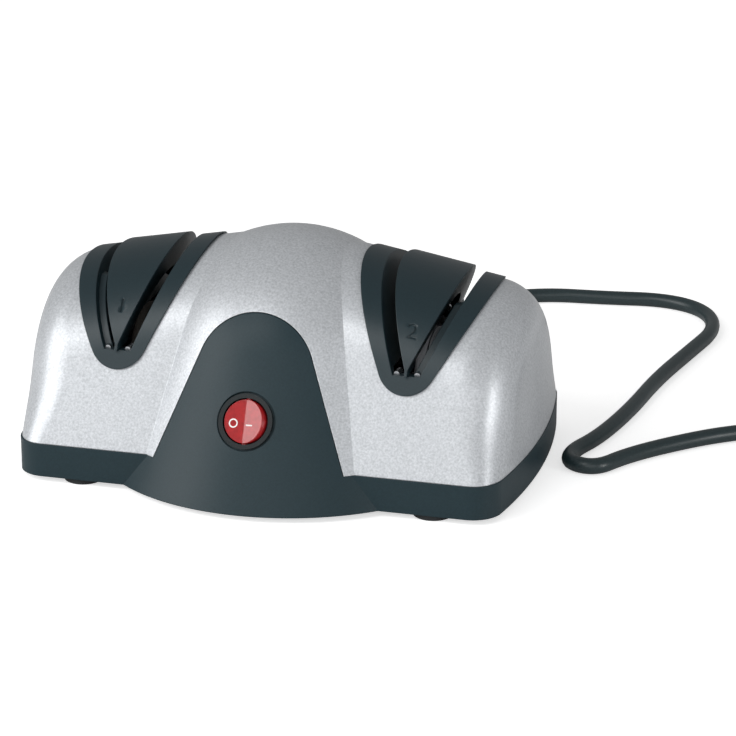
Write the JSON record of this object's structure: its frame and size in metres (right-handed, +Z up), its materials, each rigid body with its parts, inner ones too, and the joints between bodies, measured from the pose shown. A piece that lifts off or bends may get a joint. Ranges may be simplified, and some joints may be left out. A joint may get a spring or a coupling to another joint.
{
  "type": "electric knife sharpener",
  "caption": "Electric knife sharpener: silver-topped casing on a black base, paired V knife slots at each end, arched front panel with a rocker switch, and a mains lead.",
  "frame": {"origin": "middle of the underside of the casing and feet, on the table", "axes": "+X to the fine stage on the right as seen from the switch side, +Y to the back, +Z up"},
  "size_m": [0.4297, 0.3248, 0.1],
  "materials": {
    "silver_shell": "satin metallic silver paint",
    "black_shell": "satin",
    "guide_black": "satin",
    "switch_black": "gloss",
    "rocker_red": "gloss",
    "brass": "plain",
    "bright_steel": "plain",
    "zinc": "zinc plated",
    "lamination": "plain",
    "copper_winding": "enamelled wire",
    "white_plastic": "plain",
    "fine_abrasive": "fine grit",
    "coarse_abrasive": "coarse grit",
    "foot_rubber": "matt",
    "cord_black": "satin PVC"
  },
  "bodies": {
    "casing": {"top_housing": "silver_shell", "lower_housing": "black_shell", "coarse_guide_frame": "guide_black", "fine_guide_frame": "guide_black", "coarse_guide_block": "guide_black", "fine_guide_block": "guide_black", "coarse_rest_pins": "bright_steel", "fine_rest_pins": "bright_steel", "switch_body": "switch_black", "switch_terminals": "brass", "housing_screws": "bright_steel", "front_left_foot": "foot_rubber", "front_right_foot": "foot_rubber", "rear_left_foot": "foot_rubber", "rear_right_foot": "foot_rubber", "left_end_bush": "brass", "right_end_bush": "brass", "motor_stator": "lamination", "motor_coil": "copper_winding", "coil_bobbin": "white_plastic", "left_motor_bracket": "zinc", "right_motor_bracket": "zinc", "left_motor_bush": "brass", "right_motor_bush": "brass", "left_bracket_screws": "bright_steel", "right_bracket_screws": "bright_steel", "motor_screws": "bright_steel", "strain_relief": "cord_black", "mains_lead": "cord_black", "cord_coil": "cord_black", "plug_body": "cord_black", "plug_pins": "brass"},
    "spindle": {"drive_axle": "bright_steel", "motor_rotor": "lamination", "cooling_fan": "white_plastic", "fine_inner_disc": "fine_abrasive", "coarse_inner_disc": "coarse_abrasive", "fine_outer_disc": "fine_abrasive", "coarse_outer_disc": "coarse_abrasive", "fine_disc_spacer": "bright_steel", "coarse_disc_spacer": "bright_steel", "fine_disc_hub": "zinc", "coarse_disc_hub": "zinc", "fine_disc_nut": "bright_steel", "coarse_disc_nut": "bright_steel"},
    "rocker": {"rocker_button": "rocker_red"}
  },
  "joints": [
    {"name": "spindle_spin", "type": "hinge", "parent": "casing", "child": "spindle", "pos_m": [0, 0.00944, 0.04], "axis": [1, 0, 0], "continuous": true},
    {"name": "rocker_tilt", "type": "hinge", "parent": "casing", "child": "rocker", "pos_m": [0, -0.05691, 0.03649], "axis": [0, 0.4258, 0.9048], "range_deg": [0, 20]}
  ]
}
